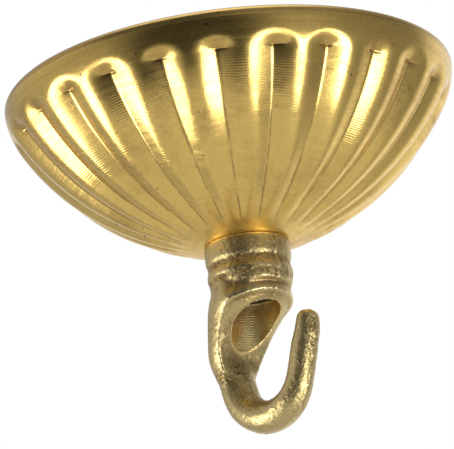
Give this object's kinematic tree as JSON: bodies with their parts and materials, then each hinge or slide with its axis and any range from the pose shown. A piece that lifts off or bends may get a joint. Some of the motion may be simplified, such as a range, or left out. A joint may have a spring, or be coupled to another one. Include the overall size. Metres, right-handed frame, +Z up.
{
  "type": "ceiling canopy with lamp hook",
  "caption": "Bowl-shaped fluted brass ceiling canopy with a cast open lamp hook, screwed on a hollow nipple that hangs from a cranked steel mounting bar.",
  "frame": {"origin": "centre of the rim on the ceiling plane, midway between the two slots of the mounting bar", "axes": "+Z up into the ceiling, square to the ceiling plane; +X towards the side where the tip of the hook stands, along the mounting bar"},
  "size_m": [0.08, 0.08, 0.0647],
  "materials": {
    "pressed_brass": "polished",
    "cast_brass": "as cast, lightly polished",
    "turned_brass": "turned",
    "zinc_steel": "zinc plated"
  },
  "bodies": {
    "root": {"canopy_shell": "pressed_brass", "hook_casting": "cast_brass", "threaded_nipple": "zinc_steel", "seat_washer": "turned_brass", "seat_lock_washer": "zinc_steel", "seat_nut": "turned_brass", "bar_lower_nut": "zinc_steel", "mounting_bar": "zinc_steel", "bar_lock_washer": "zinc_steel", "bar_upper_nut": "zinc_steel", "earth_screw": "turned_brass", "earth_washer": "turned_brass"}
  },
  "joints": []
}
